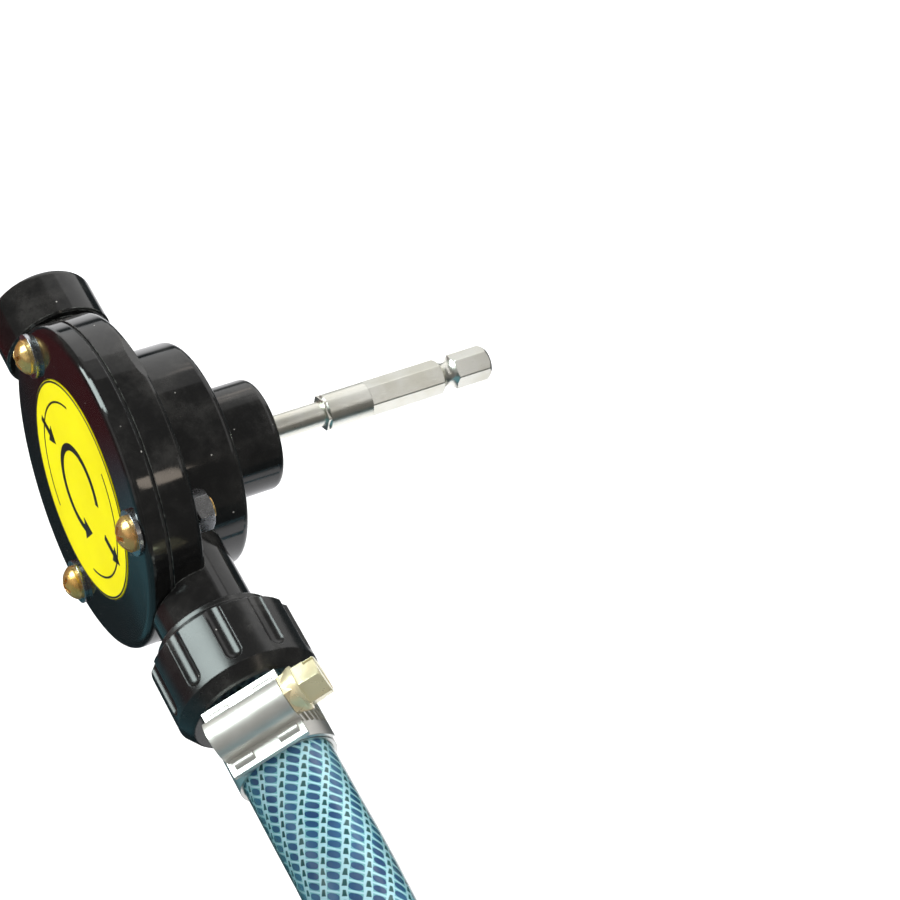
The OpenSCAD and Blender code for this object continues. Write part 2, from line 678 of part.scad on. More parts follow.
// A hollow tube swept along a route that lies in the plane square to the vector up
module swept_tube(points, up, sides) {
    n = len(points);
    rings = [for (r = [hose_d / 2, hose_bore_d / 2], i = [0 : n - 1], k = [0 : sides - 1])
        let (a = 360 * (k + 0.5) / sides, across = cross(heading(points, i), up))
        points[i] + r * (cos(a) * up + sin(a) * across)];
    walls = [for (w = [0, 1], i = [0 : n - 2], k = [0 : sides - 1])
        let (a = w * n * sides + i * sides + k, b = w * n * sides + i * sides + (k + 1) % sides,
            c = a + sides, d = b + sides)
        each (w == 0 ? [[a, b, c], [b, d, c]] : [[a, c, b], [b, c, d]])];
    ends = [for (e = [0, 1], k = [0 : sides - 1])
        let (a = e * (n - 1) * sides + k, b = e * (n - 1) * sides + (k + 1) % sides,
            c = a + n * sides, d = b + n * sides)
        each (e == 0 ? [[a, c, b], [b, c, d]] : [[a, b, c], [b, d, c]])];
    polyhedron(points = rings, faces = concat(walls, ends));
}

// Least gap of the coil to itself, over points more than half a turn apart
coil_gap = min([for (i = [0 : coil_steps], j = [0 : coil_steps]) if (j - i > loop_rings / 2)
    norm(coil_loops[i] - coil_loops[j]) - hose_d]);
echo(str("coil gap ", coil_gap, " hose length ",
    lead_start - barb_start + route_length(lead_points) + route_length(coil_points)));

module hose_cuff() color(hose_blue) on_port(-1)
    ring(barb_start, lead_start, barb_d + 2 * seat_gap, hose_d);
module hose_lead() color(hose_blue) swept_tube(lead_points, [1, 0, 0], lead_sides);
module hose_coil() color(hose_blue) swept_tube(coil_points, [0, 0, 1], coil_sides);

// Strap round the two turns that lie side by side
module coil_tie() color(black_rubber) translate((tie_outer + tie_inner) / 2)
    rotate([0, 0, atan2(tie_along[1], tie_along[0])]) rotate([90, 0, 90]) translate([0, 0, -tie_w / 2])
        linear_extrude(tie_w) difference() {
            tie_outline(hose_d / 2 + tie_gap + tie_t);
            tie_outline(hose_d / 2 + tie_gap);
        }

// Two circles a turn apart and the straight sides between them
module tie_outline(r) {
    for (side = [-1, 1]) translate([side * tie_span / 2, 0]) circle(r = r);
    translate([-tie_span / 2, -r]) square([tie_span, 2 * r]);
}

pump_body();
front_cover();
label_plate();
cover_gasket();
cover_screws();
screw_washers();
cover_nuts();
wear_plate();
impeller();
impeller_hub();
thrust_washer();
retaining_clip();
drive_shaft();
shaft_seal();
seal_case();
seal_spring();
shaft_bush();
outlet_nut();
outlet_tail();
outlet_washer();
clamp_band();
clamp_housing();
clamp_screw();
hose_cuff();
hose_lead();
hose_coil();
coil_tie();
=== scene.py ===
# %% [markdown]
# A drill powered pump: a round black housing with a flexible impeller inside, a hex shank to turn it, a
# smooth inlet collar, and an outlet whose union nut, barbed tail and worm-drive clamp hold a hose.
# The rigid pieces come from the CAD model and keep their shapes. This script gives every piece its
# finish, and makes the pieces that CAD only stands in for: the reinforced hose, the strap round its
# coil and the print of the label. Lengths are in metres.

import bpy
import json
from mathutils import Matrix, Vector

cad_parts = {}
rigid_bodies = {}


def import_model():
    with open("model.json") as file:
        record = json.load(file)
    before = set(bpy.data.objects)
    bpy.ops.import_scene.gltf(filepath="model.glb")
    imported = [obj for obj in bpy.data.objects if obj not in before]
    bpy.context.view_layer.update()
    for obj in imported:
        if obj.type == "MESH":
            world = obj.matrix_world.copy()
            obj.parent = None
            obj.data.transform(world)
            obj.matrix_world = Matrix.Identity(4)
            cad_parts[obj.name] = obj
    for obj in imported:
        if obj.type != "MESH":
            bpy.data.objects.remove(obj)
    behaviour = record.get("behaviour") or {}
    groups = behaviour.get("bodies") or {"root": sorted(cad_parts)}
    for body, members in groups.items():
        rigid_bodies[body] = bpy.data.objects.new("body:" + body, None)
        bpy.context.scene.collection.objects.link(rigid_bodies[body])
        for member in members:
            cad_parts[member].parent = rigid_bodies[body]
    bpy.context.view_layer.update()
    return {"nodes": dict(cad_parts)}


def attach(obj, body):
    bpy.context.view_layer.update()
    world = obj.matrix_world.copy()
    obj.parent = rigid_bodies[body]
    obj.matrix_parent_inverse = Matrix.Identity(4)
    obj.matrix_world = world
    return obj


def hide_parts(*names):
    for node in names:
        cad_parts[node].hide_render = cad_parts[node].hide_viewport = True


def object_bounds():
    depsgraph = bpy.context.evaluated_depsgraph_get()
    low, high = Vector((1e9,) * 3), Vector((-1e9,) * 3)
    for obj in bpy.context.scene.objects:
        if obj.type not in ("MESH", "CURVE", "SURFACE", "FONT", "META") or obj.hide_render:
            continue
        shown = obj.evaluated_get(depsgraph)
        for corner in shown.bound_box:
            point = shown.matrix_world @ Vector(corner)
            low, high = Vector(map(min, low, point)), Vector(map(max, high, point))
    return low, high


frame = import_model()

# %% Tools of this script
import json
import math

import bmesh
import bpy
from mathutils import Matrix, Vector

MM = 0.001

# %% [markdown]
# The camera stands about where the photograph was taken from. That place came from fitting round edges
# of the pump to their outlines in the photograph, with the flange taken as 64 mm wide and a 96 mm lens.
# A camera could also be aimed by eye or with a Track To constraint, but a fitted place brings the edges
# closer to where the photograph has them.

# %% Camera at the photograph's viewing angle
CAMERA_AT = (-0.2092, -0.2445, 0.3706)
CAMERA_FORWARD = (0.4033, 0.4779, -0.7802)
CAMERA_UP = (0.2891, 0.7425, 0.6041)
CAMERA_LENS = 96


def new_camera(place, forward, up, lens):
    """A camera from its place, its viewing direction and its upward direction."""
    forward = Vector(forward).normalized()
    right = forward.cross(Vector(up)).normalized()
    camera = bpy.data.objects.new("camera", bpy.data.cameras.new("camera"))
    camera.matrix_world = Matrix((right, right.cross(forward), -forward)).transposed().to_4x4()
    camera.location = place
    camera.data.lens = lens
    camera.data.clip_start = 0.01
    bpy.context.scene.collection.objects.link(camera)
    return camera


camera = new_camera(CAMERA_AT, CAMERA_FORWARD, CAMERA_UP, CAMERA_LENS)
bpy.context.scene.camera = camera
print("camera at", tuple(round(v, 4) for v in camera.location))

# %% [markdown]
# The hose is one piece: a 12.7 mm bore garden hose, pushed over the outlet's barbed tail, that sags to the
# ground and lies there in a neat coil. A bevelled curve would make a tube at once, but a tube of our own
# rings also gets an open bore and a map whose two numbers run round and along the hose, which the woven
# net in its wall needs. Its route repeats the points of the CAD model.

# %% Route of the hose
PORT_X = -78.8 * MM
HOSE_R = 8.8 * MM
BORE_R = 6.35 * MM
CUFF_BORE_R = 6.75 * MM
HOSE_START = 56.6 * MM
CUFF_END = 82 * MM
LEAD_YZ = [(-82, 0), (-95, 0), (-114, -2.5), (-132.5, -10), (-148, -22), (-160, -37.5), (-167.5, -56),
           (-170, -70), (-172.5, -84), (-180, -102.5), (-192, -118), (-207.5, -130), (-226, -137.5),
           (-243, -140), (-250, -140)]
LEAD_SPACING = 4 * MM
COIL_R = 106 * MM
COIL_PITCH = 18.2 * MM
COIL_STEPS = 37
COIL_STEP_DEG = 15


def smooth_line(points, spacing):
    """Points of a Catmull-Rom curve through the given ones, about spacing apart."""
    line = []
    ends = [2 * points[0] - points[1]] + points + [2 * points[-1] - points[-2]]
    for a, b, c, d in zip(ends, ends[1:], ends[2:], ends[3:]):
        count = max(1, round((c - b).length / spacing))
        for k in range(count):
            t = k / count
            line.append(0.5 * (2 * b + t * (c - a) + t * t * (2 * a - 5 * b + 4 * c - d)
                               + t ** 3 * (3 * b - a - 3 * c + d)))
    return line + [points[-1]]


def coil_line(start):
    """The coil: straight for one diameter, round and slowly in, and straight again."""
    centre = start + Vector((COIL_R, -2 * HOSE_R, 0))
    fine = 4
    turn = []
    for k in range(COIL_STEPS * fine + 1):
        a = math.radians(COIL_STEP_DEG * k / fine)
        r = COIL_R - COIL_PITCH * a / math.tau
        turn.append(centre + Vector((-r * math.cos(a), -r * math.sin(a), 0)))
    last = (turn[-1] - turn[-2]).normalized()
    straight = [start + Vector((0, -2 * HOSE_R * k / 4, 0)) for k in (1, 2, 3)]
    return centre, straight + turn + [turn[-1] + 2 * HOSE_R * last * k / 4 for k in (1, 2, 3, 4)]


lead = [Vector((PORT_X, y * MM, z * MM)) for y, z in LEAD_YZ]
coil_centre, coil_points = coil_line(lead[-1])
cuff = [Vector((PORT_X, -HOSE_START - (CUFF_END - HOSE_START) * k / 8, 0)) for k in range(8)]
hose_route = cuff + smooth_line(lead, LEAD_SPACING) + coil_points
hose_length = sum((b - a).length for a, b in zip(hose_route, hose_route[1:]))
print("hose length", round(hose_length, 4), "m in", len(hose_route), "points")


# %% The hose as a tube of rings
HOSE_SIDES = 64
CUT_EDGE = 0.35 * MM


def carried_frames(route):
    """For each point of a route, two directions across it that turn as little as possible."""
    side, frames = Vector((1, 0, 0)), []
    for i in range(len(route)):
        ahead = (route[min(i + 1, len(route) - 1)] - route[max(i - 1, 0)]).normalized()
        side = (side - side.dot(ahead) * ahead).normalized()
        frames.append((side, ahead.cross(side)))
    return frames


def finished_mesh(name, mesh):
    """Turns a bmesh into an object of the scene, with its faces looking outwards."""
    bmesh.ops.recalc_face_normals(mesh, faces=mesh.faces)
    data = bpy.data.meshes.new(name)
    mesh.to_mesh(data)
    mesh.free()
    piece = bpy.data.objects.new(name, data)
    bpy.context.scene.collection.objects.link(piece)
    return piece


def hose_rings():
    """Centres and radii of the hose's rings: along the outside, over the cut end, back in the bore."""
    outside = [(p, HOSE_R) for p in hose_route]
    first, last = hose_route[0], hose_route[-1]
    out, back = (hose_route[1] - first).normalized(), (last - hose_route[-2]).normalized()
    outside[0] = (first + CUT_EDGE * out, HOSE_R)
    outside[-1] = (last - CUT_EDGE * back, HOSE_R)
    outside = [(first, HOSE_R - CUT_EDGE)] + outside + [(last, HOSE_R - CUT_EDGE)]
    bore = [(p, BORE_R if -p.y > CUFF_END else CUFF_BORE_R) for p in hose_route]
    return zip(*(outside + bore[::-1]))


def hose_mesh():
    """The hose. Its rings share the route's own directions, outside and in the bore."""
    centres, radii = hose_rings()
    mesh = bmesh.new()
    frames = carried_frames(hose_route)
    count = len(hose_route)
    pick = [0] + list(range(count)) + [count - 1] + list(range(count))[::-1]
    layer = mesh.loops.layers.uv.new("map")
    along = [0]
    for a, b in zip(hose_route, hose_route[1:]):
        along.append(along[-1] + (b - a).length)
    rings = []
    for place, r, i in zip(centres, radii, pick):
        u, v = frames[i]
        turn = [math.tau * k / HOSE_SIDES for k in range(HOSE_SIDES)]
        rings.append([mesh.verts.new(place + r * (math.cos(a) * u + math.sin(a) * v)) for a in turn])
    for i in range(len(rings)):
        j = (i + 1) % len(rings)
        cut = i in (0, count, count + 1, len(rings) - 1)
        for k in range(HOSE_SIDES):
            m = (k + 1) % HOSE_SIDES
            face = mesh.faces.new((rings[i][k], rings[i][m], rings[j][m], rings[j][k]))
            face.smooth = not cut
            for loop, (around, ring) in zip(face.loops, ((k, i), (k + 1, i), (k + 1, j), (k, j))):
                loop[layer].uv = (around / HOSE_SIDES, along[pick[ring]])
    return finished_mesh("hose", mesh)


hose = hose_mesh()
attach(hose, "housing")
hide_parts("hose_cuff", "hose_lead", "hose_coil")
print("hose faces", len(hose.data.polygons))

# %% [markdown]
# A strap of black nylon holds the coil's two turns together. It could be a plain ring, but a real one is
# a ribbon that overlaps itself, so its outline is walked round the two turns and a little further.

# %% Strap round the coil
STRAP_AT = 52.5
STRAP_W = 12 * MM
STRAP_T = 1.1 * MM
STRAP_GAP = 0.4 * MM
LAP_POINTS = slice(9, 22)


def stadium(half, r, steps=14):
    """Points round two circles of radius r whose middles are half either side, with their outward normals."""
    points = []
    for side, start in ((1, -90), (-1, 90)):
        for k in range(steps + 1):
            a = math.radians(start + 180 * k / steps)
            n = Vector((math.cos(a), math.sin(a)))
            points.append((Vector((side * half, 0)) + r * n, n))
    return points


def strap_mesh():
    """A ribbon round the two turns, with a second layer where its end laps over."""
    mid = COIL_R - COIL_PITCH * (STRAP_AT / 360 + 0.5)
    a = math.radians(180 + STRAP_AT)
    out, up = Vector((math.cos(a), math.sin(a), 0)), Vector((0, 0, 1))
    width = up.cross(out)
    mesh = bmesh.new()
    loop = stadium(COIL_PITCH / 2, HOSE_R + STRAP_GAP)
    for line, lift, closed in ((loop, 0, True), (loop[LAP_POINTS], STRAP_T, False)):
        rows = []
        for place, n in line:
            corners = []
            for depth, side in ((0, -1), (0, 1), (1, 1), (1, -1)):
                flat = place + (lift + depth * STRAP_T) * n
                corners.append(mesh.verts.new(coil_centre + mid * out + flat.x * out + flat.y * up
                                              + side * STRAP_W / 2 * width))
            rows.append(corners)
        for i in range(len(rows) if closed else len(rows) - 1):
            j = (i + 1) % len(rows)
            for k in range(4):
                m = (k + 1) % 4
                mesh.faces.new((rows[i][k], rows[i][m], rows[j][m], rows[j][k]))
        if not closed:
            mesh.faces.new(rows[0])
            mesh.faces.new(rows[-1])
    return finished_mesh("coil_strap", mesh)


strap = strap_mesh()
print("strap faces", len(strap.data.polygons))
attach(strap, "housing")
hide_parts("coil_tie")

# %% [markdown]
# The label is a yellow disc in the cover's recess. It carries signs alone: thin rings, a curved arrow for
# the turning direction, and a straight arrow at each side for the water's way in and out. The signs could
# be painted in a material, but thin printed shapes of their own keep sharp edges from near by.

# %% Print of the label
LABEL_X = -88.85 * MM
LABEL_R = 21.7 * MM
PRINT_T = 0.05 * MM
RIM_RING = (LABEL_R - 0.5 * MM, LABEL_R - 0.1 * MM)
SIDE_ARC = (17.2 * MM, 17.6 * MM)
LINE_W = 1.5 * MM
TURN_R = 8.6 * MM
TURN_HEAD = 4 * MM
FLOW_Y = 15.2 * MM
FLOW_HEAD = 3 * MM
FLOW_L = 7 * MM
DEG_PER_RAD = 57.3


def printed(name, outlines):
    """Thin shapes on the label, from outlines given in its plane as (y, z) in metres."""
    mesh = bmesh.new()
    for outline in outlines:
        back = [mesh.verts.new((LABEL_X + PRINT_T, y, z)) for y, z in outline]
        front = [mesh.verts.new((LABEL_X - PRINT_T, y, z)) for y, z in outline]
        mesh.faces.new(front)
        mesh.faces.new(back[::-1])
        for k in range(len(outline)):
            m = (k + 1) % len(outline)
            mesh.faces.new((back[k], back[m], front[m], front[k]))
    piece = finished_mesh(name, mesh)
    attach(piece, "housing")
    return piece


def arc_band(r0, r1, start, end, step=4):
    """Outlines of a curved band between two radii, in pieces that stay nearly straight."""
    count = max(1, round(abs(end - start) / step))
    edge = [math.radians(start + (end - start) * k / count) for k in range(count + 1)]
    return [[(r0 * math.cos(a), r0 * math.sin(a)), (r1 * math.cos(a), r1 * math.sin(a)),
             (r1 * math.cos(b), r1 * math.sin(b)), (r0 * math.cos(b), r0 * math.sin(b))]
            for a, b in zip(edge, edge[1:])]


def turn_arrow(r, start, end, width, head):
    """A curved arrow at radius r, from one angle to another."""
    way = 1 if end > start else -1
    tip, base = math.radians(end), math.radians(end - way * head / r * DEG_PER_RAD)
    corners = [(r * math.cos(tip), r * math.sin(tip))]
    corners += [((r + w) * math.cos(base), (r + w) * math.sin(base)) for w in (1.6 * width, -1.6 * width)]
    return arc_band(r - width / 2, r + width / 2, start, math.degrees(base)) + [corners]


def straight_arrow(y, width, head, length):
    """A straight arrow towards -y, where the water goes, with its middle at y on the label's own line."""
    start, neck, tip = y + length / 2, y - length / 2 + head, y - length / 2
    return [[(start, -width / 2), (neck, -width / 2), (neck, width / 2), (start, width / 2)],
            [(neck, -1.5 * width), (tip, 0), (neck, 1.5 * width)]]


label_ring = printed("label_ring", arc_band(*RIM_RING, 0, 360, 3) + arc_band(*SIDE_ARC, -62, 62)
                     + arc_band(*SIDE_ARC, 118, 242))
label_turn = printed("label_turn_arrow", turn_arrow(TURN_R, 150, -140, LINE_W, TURN_HEAD))
label_flow = printed("label_flow_arrows", straight_arrow(FLOW_Y, LINE_W, FLOW_HEAD, FLOW_L)
                     + straight_arrow(-FLOW_Y, LINE_W, FLOW_HEAD, FLOW_L))
print("printed signs", label_ring.name, label_turn.name, label_flow.name)

# %% [markdown]
# Materials are built from nodes. A few short helpers keep that readable: one adds a node with its
# settings and inputs, one starts a node group, and one starts a material with its Principled shader.
# Effects that several finishes share are groups, which put out masks, values and normals only.

# %% Helpers for nodes
def add(tree, kind, inputs=None, **settings):
    """A new node. An input is a value, or another node's output, which is then linked."""
    node = tree.nodes.new("ShaderNode" + kind)
    for key, value in settings.items():
        setattr(node, key, value)
    for key, value in (inputs or {}).items():
        if isinstance(value, bpy.types.NodeSocket):
            tree.links.new(value, node.inputs[key])
        else:
            node.inputs[key].default_value = value
    return node


def calc(tree, operation, *values):
    """The output of a Math node."""
    return add(tree, "Math", dict(enumerate(values)), operation=operation).outputs[0]


def between(tree, value, low, high, start=0.0, end=1.0):
    """A value mapped smoothly from low..high to start..end, and held at both ends."""
    return add(tree, "MapRange", {"Value": value, "From Min": low, "From Max": high, "To Min": start,
                                  "To Max": end}, interpolation_type="SMOOTHSTEP").outputs[0]


def mixed(tree, factor, first, second):
    """Two colours mixed by a factor. A Mix node takes them at its inputs 6 and 7."""
    node = add(tree, "Mix", data_type="RGBA")
    for socket, value in ((node.inputs[0], factor), (node.inputs[6], first), (node.inputs[7], second)):
        if isinstance(value, bpy.types.NodeSocket):
            tree.links.new(value, socket)
        else:
            socket.default_value = value
    return node.outputs[2]


def rgb(*values):
    return (*values, 1.0)


def start_group(name, inputs, outputs):
    """A node group with named sockets: its tree, its inputs and its output node."""
    tree = bpy.data.node_groups.new(name, "ShaderNodeTree")
    for label, value in inputs.items():
        tree.interface.new_socket(label, in_out="INPUT", socket_type="NodeSocketFloat").default_value = value
    for label, kind in outputs.items():
        tree.interface.new_socket(label, in_out="OUTPUT", socket_type="NodeSocket" + kind)
    return tree, tree.nodes.new("NodeGroupInput").outputs, tree.nodes.new("NodeGroupOutput")


def use(tree, group, **values):
    """Places a group in a material. Underscores in a value's name stand for spaces."""
    node = add(tree, "Group")
    node.node_tree = group
    for key, value in values.items():
        node.inputs[key.replace("_", " ")].default_value = value
    return node.outputs


def start_material(name, **values):
    """A material with its Principled shader set from plain values."""
    material = bpy.data.materials.new(name)
    material.use_nodes = True
    shader = material.node_tree.nodes["Principled BSDF"]
    for key, value in values.items():
        shader.inputs[key.replace("_", " ")].default_value = value
    return material, material.node_tree, shader.inputs


def feed(tree, socket, value):
    tree.links.new(value, socket)


# %% [markdown]
# Four effects are shared. "Worn edges" compares the true normal with one rounded over a small radius:
# they differ only near an edge, which gives a mask and a softened normal. "Moulded skin" is the fine
# pebbling and the slow waves of moulded plastic and rubber. "Brushed lines" stretches noise along one
# direction, as grinding does. "Dust" gathers on faces that look up, in specks and in a thin film.

# %% Shared effect: worn edges
EDGE_COSINE = (0.995, 0.86)


def worn_edges_group():
    tree, given, out = start_group("worn edges", {"Radius": 0.0003, "Amount": 1.0},
                                   {"Mask": "Float", "Normal": "Vector"})
    soft = add(tree, "Bevel", {"Radius": given["Radius"]}, samples=4)
    true = add(tree, "NewGeometry")
    dot = add(tree, "VectorMath", {0: soft.outputs[0], 1: true.outputs["Normal"]}, operation="DOT_PRODUCT")
    place = add(tree, "TexCoord").outputs["Object"]
    noise = add(tree, "TexNoise", {"Vector": place, "Scale": 900.0, "Detail": 4.0}).outputs["Fac"]
    edge = between(tree, dot.outputs["Value"], *EDGE_COSINE)
    worn = calc(tree, "MULTIPLY", edge, between(tree, noise, 0.35, 0.65))
    feed(tree, out.inputs["Mask"], calc(tree, "MULTIPLY", worn, given["Amount"]))
    feed(tree, out.inputs["Normal"], soft.outputs[0])
    return tree


worn_edges = worn_edges_group()


# %% Shared effect: moulded skin
def moulded_skin_group():
    tree, given, out = start_group("moulded skin", {"Grain": 2500.0, "Waves": 120.0},
                                   {"Grain": "Float", "Waves": "Float", "Clouds": "Float"})
    place = add(tree, "TexCoord").outputs["Object"]
    grain = add(tree, "TexNoise", {"Vector": place, "Scale": given["Grain"], "Detail": 3.0})
    waves = add(tree, "TexNoise", {"Vector": place, "Scale": given["Waves"], "Detail": 1.0})
    clouds = add(tree, "TexNoise", {"Vector": place, "Scale": 45.0, "Detail": 6.0})
    for label, node in (("Grain", grain), ("Waves", waves), ("Clouds", clouds)):
        feed(tree, out.inputs[label], node.outputs["Fac"])
    return tree


moulded_skin = moulded_skin_group()


# %% Shared effect: brushed lines
def brushed_lines_group():
    tree, given, out = start_group("brushed lines", {"Along X": 3.0, "Along Y": 3.0, "Along Z": 3.0,
                                                      "Scale": 900.0}, {"Lines": "Float", "Stains": "Float"})
    place = add(tree, "TexCoord").outputs["Object"]
    stretch = add(tree, "CombineXYZ", {"X": given["Along X"], "Y": given["Along Y"], "Z": given["Along Z"]})
    line = add(tree, "VectorMath", {0: place, 1: stretch.outputs[0]}, operation="MULTIPLY").outputs[0]
    lines = add(tree, "TexNoise", {"Vector": line, "Scale": given["Scale"], "Detail": 5.0, "Roughness": 0.7})
    stains = add(tree, "TexNoise", {"Vector": place, "Scale": 160.0, "Detail": 5.0})
    feed(tree, out.inputs["Lines"], lines.outputs["Fac"])
    feed(tree, out.inputs["Stains"], stains.outputs["Fac"])
    return tree


brushed_lines = brushed_lines_group()


# %% Shared effect: dust
SPECK_SIZE = (0.13, 0.05)
SPECK_SHARE = (0.93, 0.96)
FILM_PATCHES = (0.42, 0.75)
FACING_UP = (-0.1, 0.9)


def dust_group():
    tree, given, out = start_group("dust", {"Amount": 0.3, "Specks": 0.5}, {"Mask": "Float"})
    place = add(tree, "TexCoord").outputs["Object"]
    up = add(tree, "SeparateXYZ", {0: add(tree, "NewGeometry").outputs["Normal"]}).outputs["Z"]
    film = add(tree, "TexNoise", {"Vector": place, "Scale": 70.0, "Detail": 8.0, "Roughness": 0.7})
    cells = add(tree, "TexVoronoi", {"Vector": place, "Scale": 520.0, "Randomness": 1.0})
    spot = between(tree, cells.outputs["Distance"], *SPECK_SIZE)
    lot = add(tree, "SeparateColor", {0: cells.outputs["Color"]}).outputs[0]
    rare = between(tree, lot, *SPECK_SHARE)
    specks = calc(tree, "MULTIPLY", calc(tree, "MULTIPLY", spot, rare), given["Specks"])
    veil = calc(tree, "MULTIPLY", between(tree, film.outputs["Fac"], *FILM_PATCHES), given["Amount"])
    both = calc(tree, "ADD", calc(tree, "MULTIPLY", veil, between(tree, up, *FACING_UP)), specks)
    feed(tree, out.inputs["Mask"], calc(tree, "MINIMUM", both, 1.0))
    return tree


dust = dust_group()
print("shared effects", [g.name for g in bpy.data.node_groups])

# %% [markdown]
# The housing is glossy black plastic. Its skin isn't quite flat, so the lamps' reflections waver, and
# handling has dulled it in clouds. A plain dark colour with a low roughness would look like glass.

# %% Finish of the housing
def plastic_material(name, colour, pale, gloss, grain, wave_height, grain_height, dusty, wear):
    """Moulded plastic: gloss is the range of its roughness, and the two heights are those of its skin."""
    material, tree, shader = start_material(name, IOR=1.5)
    skin = use(tree, moulded_skin, Grain=grain, Waves=140.0)
    edge = use(tree, worn_edges, Radius=0.00035, Amount=wear)
    film = use(tree, dust, Amount=dusty, Specks=0.8)
    worn = mixed(tree, edge["Mask"], rgb(*colour), rgb(*pale))
    dusted = mixed(tree, film["Mask"], worn, rgb(0.42, 0.41, 0.38))
    rough = between(tree, skin["Clouds"], 0.35, 0.7, gloss[0], gloss[1])
    rough = calc(tree, "ADD", rough, calc(tree, "MULTIPLY", film["Mask"], 0.35))
    rough = calc(tree, "ADD", rough, calc(tree, "MULTIPLY", edge["Mask"], 0.2))
    waves = add(tree, "Bump", {"Height": skin["Waves"], "Normal": edge["Normal"], "Distance": wave_height})
    fine = add(tree, "Bump", {"Height": skin["Grain"], "Normal": waves.outputs[0], "Distance": grain_height})
    feed(tree, shader["Base Color"], dusted)
    feed(tree, shader["Roughness"], calc(tree, "MINIMUM", rough, 1.0))
    feed(tree, shader["Normal"], fine.outputs[0])
    return material


housing_plastic = plastic_material(
    "housing_plastic", colour=(0.006, 0.006, 0.006), pale=(0.15, 0.16, 0.145), gloss=(0.06, 0.13),
    grain=3000.0, wave_height=0.00004, grain_height=0.000001, dusty=0.06, wear=0.9)
union_plastic = plastic_material(
    "union_plastic", colour=(0.007, 0.007, 0.007), pale=(0.10, 0.10, 0.10), gloss=(0.2, 0.28),
    grain=1800.0, wave_height=0.00002, grain_height=0.000004, dusty=0.08, wear=0.5)
tail_plastic = plastic_material(
    "tail_plastic", colour=(0.007, 0.007, 0.007), pale=(0.08, 0.08, 0.08), gloss=(0.2, 0.3),
    grain=2400.0, wave_height=0.00003, grain_height=0.000004, dusty=0.05, wear=0.4)
cover_plastic = plastic_material(
    "cover_plastic", colour=(0.006, 0.006, 0.006), pale=(0.12, 0.125, 0.12), gloss=(0.05, 0.1),
    grain=3000.0, wave_height=0.00003, grain_height=0.000001, dusty=0.04, wear=0.6)
print("plastics", [m.name for m in (housing_plastic, union_plastic, tail_plastic, cover_plastic)])

# %% [markdown]
# The label is nearly matt yellow film with the faint grain of its print, and the signs on it are ink.

# %% Finish of the label and its print
def label_material():
    material, tree, shader = start_material("yellow_label", Roughness=0.5, Specular_IOR_Level=0.03)
    skin = use(tree, moulded_skin, Grain=4200.0, Waves=90.0)
    film = use(tree, dust, Amount=0.02, Specks=0.3)
    patches = between(tree, skin["Clouds"], 0.3, 0.7)
    tint = mixed(tree, patches, rgb(0.74, 0.66, 0.0), rgb(0.79, 0.73, 0.0))
    feed(tree, shader["Base Color"], mixed(tree, film["Mask"], tint, rgb(0.6, 0.57, 0.4)))
    bump = add(tree, "Bump", {"Height": skin["Grain"], "Distance": 0.000004})
    feed(tree, shader["Normal"], bump.outputs[0])
    return material


def ink_material():
    material, tree, shader = start_material("black_print", Roughness=0.45)
    skin = use(tree, moulded_skin, Grain=5200.0, Waves=200.0)
    patches = between(tree, skin["Clouds"], 0.4, 0.8)
    feed(tree, shader["Base Color"], mixed(tree, patches, rgb(0.010, 0.010, 0.010), rgb(0.03, 0.03, 0.028)))
    bump = add(tree, "Bump", {"Height": skin["Grain"], "Distance": 0.000004})
    feed(tree, shader["Normal"], bump.outputs[0])
    return material


yellow_label, black_print = label_material(), ink_material()
print("label finishes", yellow_label.name, black_print.name)

# %% [markdown]
# The gasket, the impeller, the seal's lip and the washer are black rubber, matt and finely pebbled,
# with the grey bloom that rubber gets as it ages.

# %% Finish of the rubber pieces
def rubber_material():
    material, tree, shader = start_material("black_rubber")
    skin = use(tree, moulded_skin, Grain=1500.0, Waves=200.0)
    edge = use(tree, worn_edges, Radius=0.0003, Amount=0.5)
    patches = between(tree, skin["Clouds"], 0.4, 0.75)
    bloom = mixed(tree, patches, rgb(0.014, 0.014, 0.014), rgb(0.05, 0.05, 0.048))
    feed(tree, shader["Base Color"], mixed(tree, edge["Mask"], bloom, rgb(0.08, 0.08, 0.075)))
    feed(tree, shader["Roughness"], between(tree, skin["Clouds"], 0.3, 0.8, 0.55, 0.8))
    bump = add(tree, "Bump", {"Height": skin["Grain"], "Normal": edge["Normal"], "Distance": 0.00002})
    feed(tree, shader["Normal"], bump.outputs[0])
    return material


black_rubber = rubber_material()
print("rubber", black_rubber.name)

# %% [markdown]
# Metals differ in colour, in how rough they are and in which way they were ground, so one function makes
# them all. Brushed steel could use the shader's anisotropy, but real fine lines show it from every side.
# The clamp's housing is a little less than fully metallic, so that it also takes soft light and doesn't
# go black where it mirrors the dark room.

# %% Finish of the metal pieces
EDGE_SHINE = 1.15


def metal_material(name, bright, dull, gloss, stretch, scale, depth, wear=0.3, metallic=1.0):
    """A metal: bright and dull are its colours, stretch multiplies the noise's place along x, y and z."""
    material, tree, shader = start_material(name, Metallic=metallic)
    lines = use(tree, brushed_lines, Along_X=stretch[0], Along_Y=stretch[1], Along_Z=stretch[2], Scale=scale)
    edge = use(tree, worn_edges, Radius=0.0002, Amount=wear)
    tone = mixed(tree, between(tree, lines["Stains"], 0.35, 0.7), rgb(*bright), rgb(*dull))
    polished = rgb(*(min(1, c * EDGE_SHINE) for c in bright))
    feed(tree, shader["Base Color"], mixed(tree, edge["Mask"], tone, polished))
    rough = between(tree, lines["Lines"], 0.25, 0.75, gloss[0], gloss[1])
    feed(tree, shader["Roughness"], rough)
    bump = add(tree, "Bump", {"Height": lines["Lines"], "Normal": edge["Normal"], "Distance": depth})
    feed(tree, shader["Normal"], bump.outputs[0])
    return material


